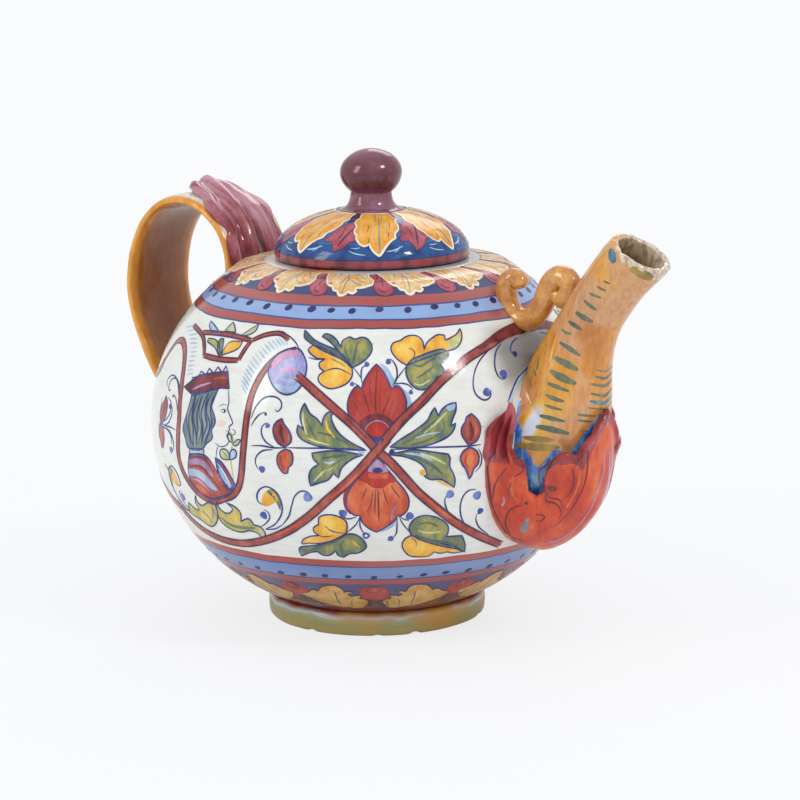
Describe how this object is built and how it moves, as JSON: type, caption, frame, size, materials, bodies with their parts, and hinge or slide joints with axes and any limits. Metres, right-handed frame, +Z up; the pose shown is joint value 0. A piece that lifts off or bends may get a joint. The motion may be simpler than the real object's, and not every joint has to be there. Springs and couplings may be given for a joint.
{
  "type": "lustreware teapot",
  "caption": "Round glazed teapot on a foot ring, with a lift-off domed lid, a strap handle under an applied leaf, and a spout rising from a lobed calyx and held by a scrolled brace.",
  "frame": {"origin": "middle of the whole length and width, on the table plane under the foot ring", "axes": "+X toward the spout, +Z up, so the handle is at -X and the pot's own axis is upright, 9 mm to the handle's side of the origin"},
  "size_m": [0.2294, 0.1598, 0.1678],
  "materials": {
    "cream_tin_glaze": "gloss tin glaze, painted",
    "olive_foot_glaze": "gloss glaze, worn at the foot",
    "ochre_lustre": "gloss ochre lustre",
    "ruby_lustre": "gloss ruby lustre",
    "vermilion_glaze": "gloss glaze",
    "blue_lid_glaze": "gloss tin glaze, painted",
    "bare_clay": "unglazed matt clay"
  },
  "bodies": {
    "pot": {"body_shell": "cream_tin_glaze", "foot_ring": "olive_foot_glaze", "gallery_ring": "ochre_lustre", "spout_tube": "ochre_lustre", "calyx_leaf_front": "vermilion_glaze", "calyx_leaf_left": "vermilion_glaze", "calyx_leaf_right": "vermilion_glaze", "scroll_brace": "ochre_lustre", "handle_strap": "ochre_lustre", "handle_leaf": "ruby_lustre"},
    "lid": {"lid_dome": "blue_lid_glaze", "lid_flange": "bare_clay", "lid_knob": "ruby_lustre"}
  },
  "joints": [
    {"name": "lid_lift", "type": "slide", "parent": "pot", "child": "lid", "axis": [0, 0, 1], "range_m": [0, 0.06]}
  ]
}
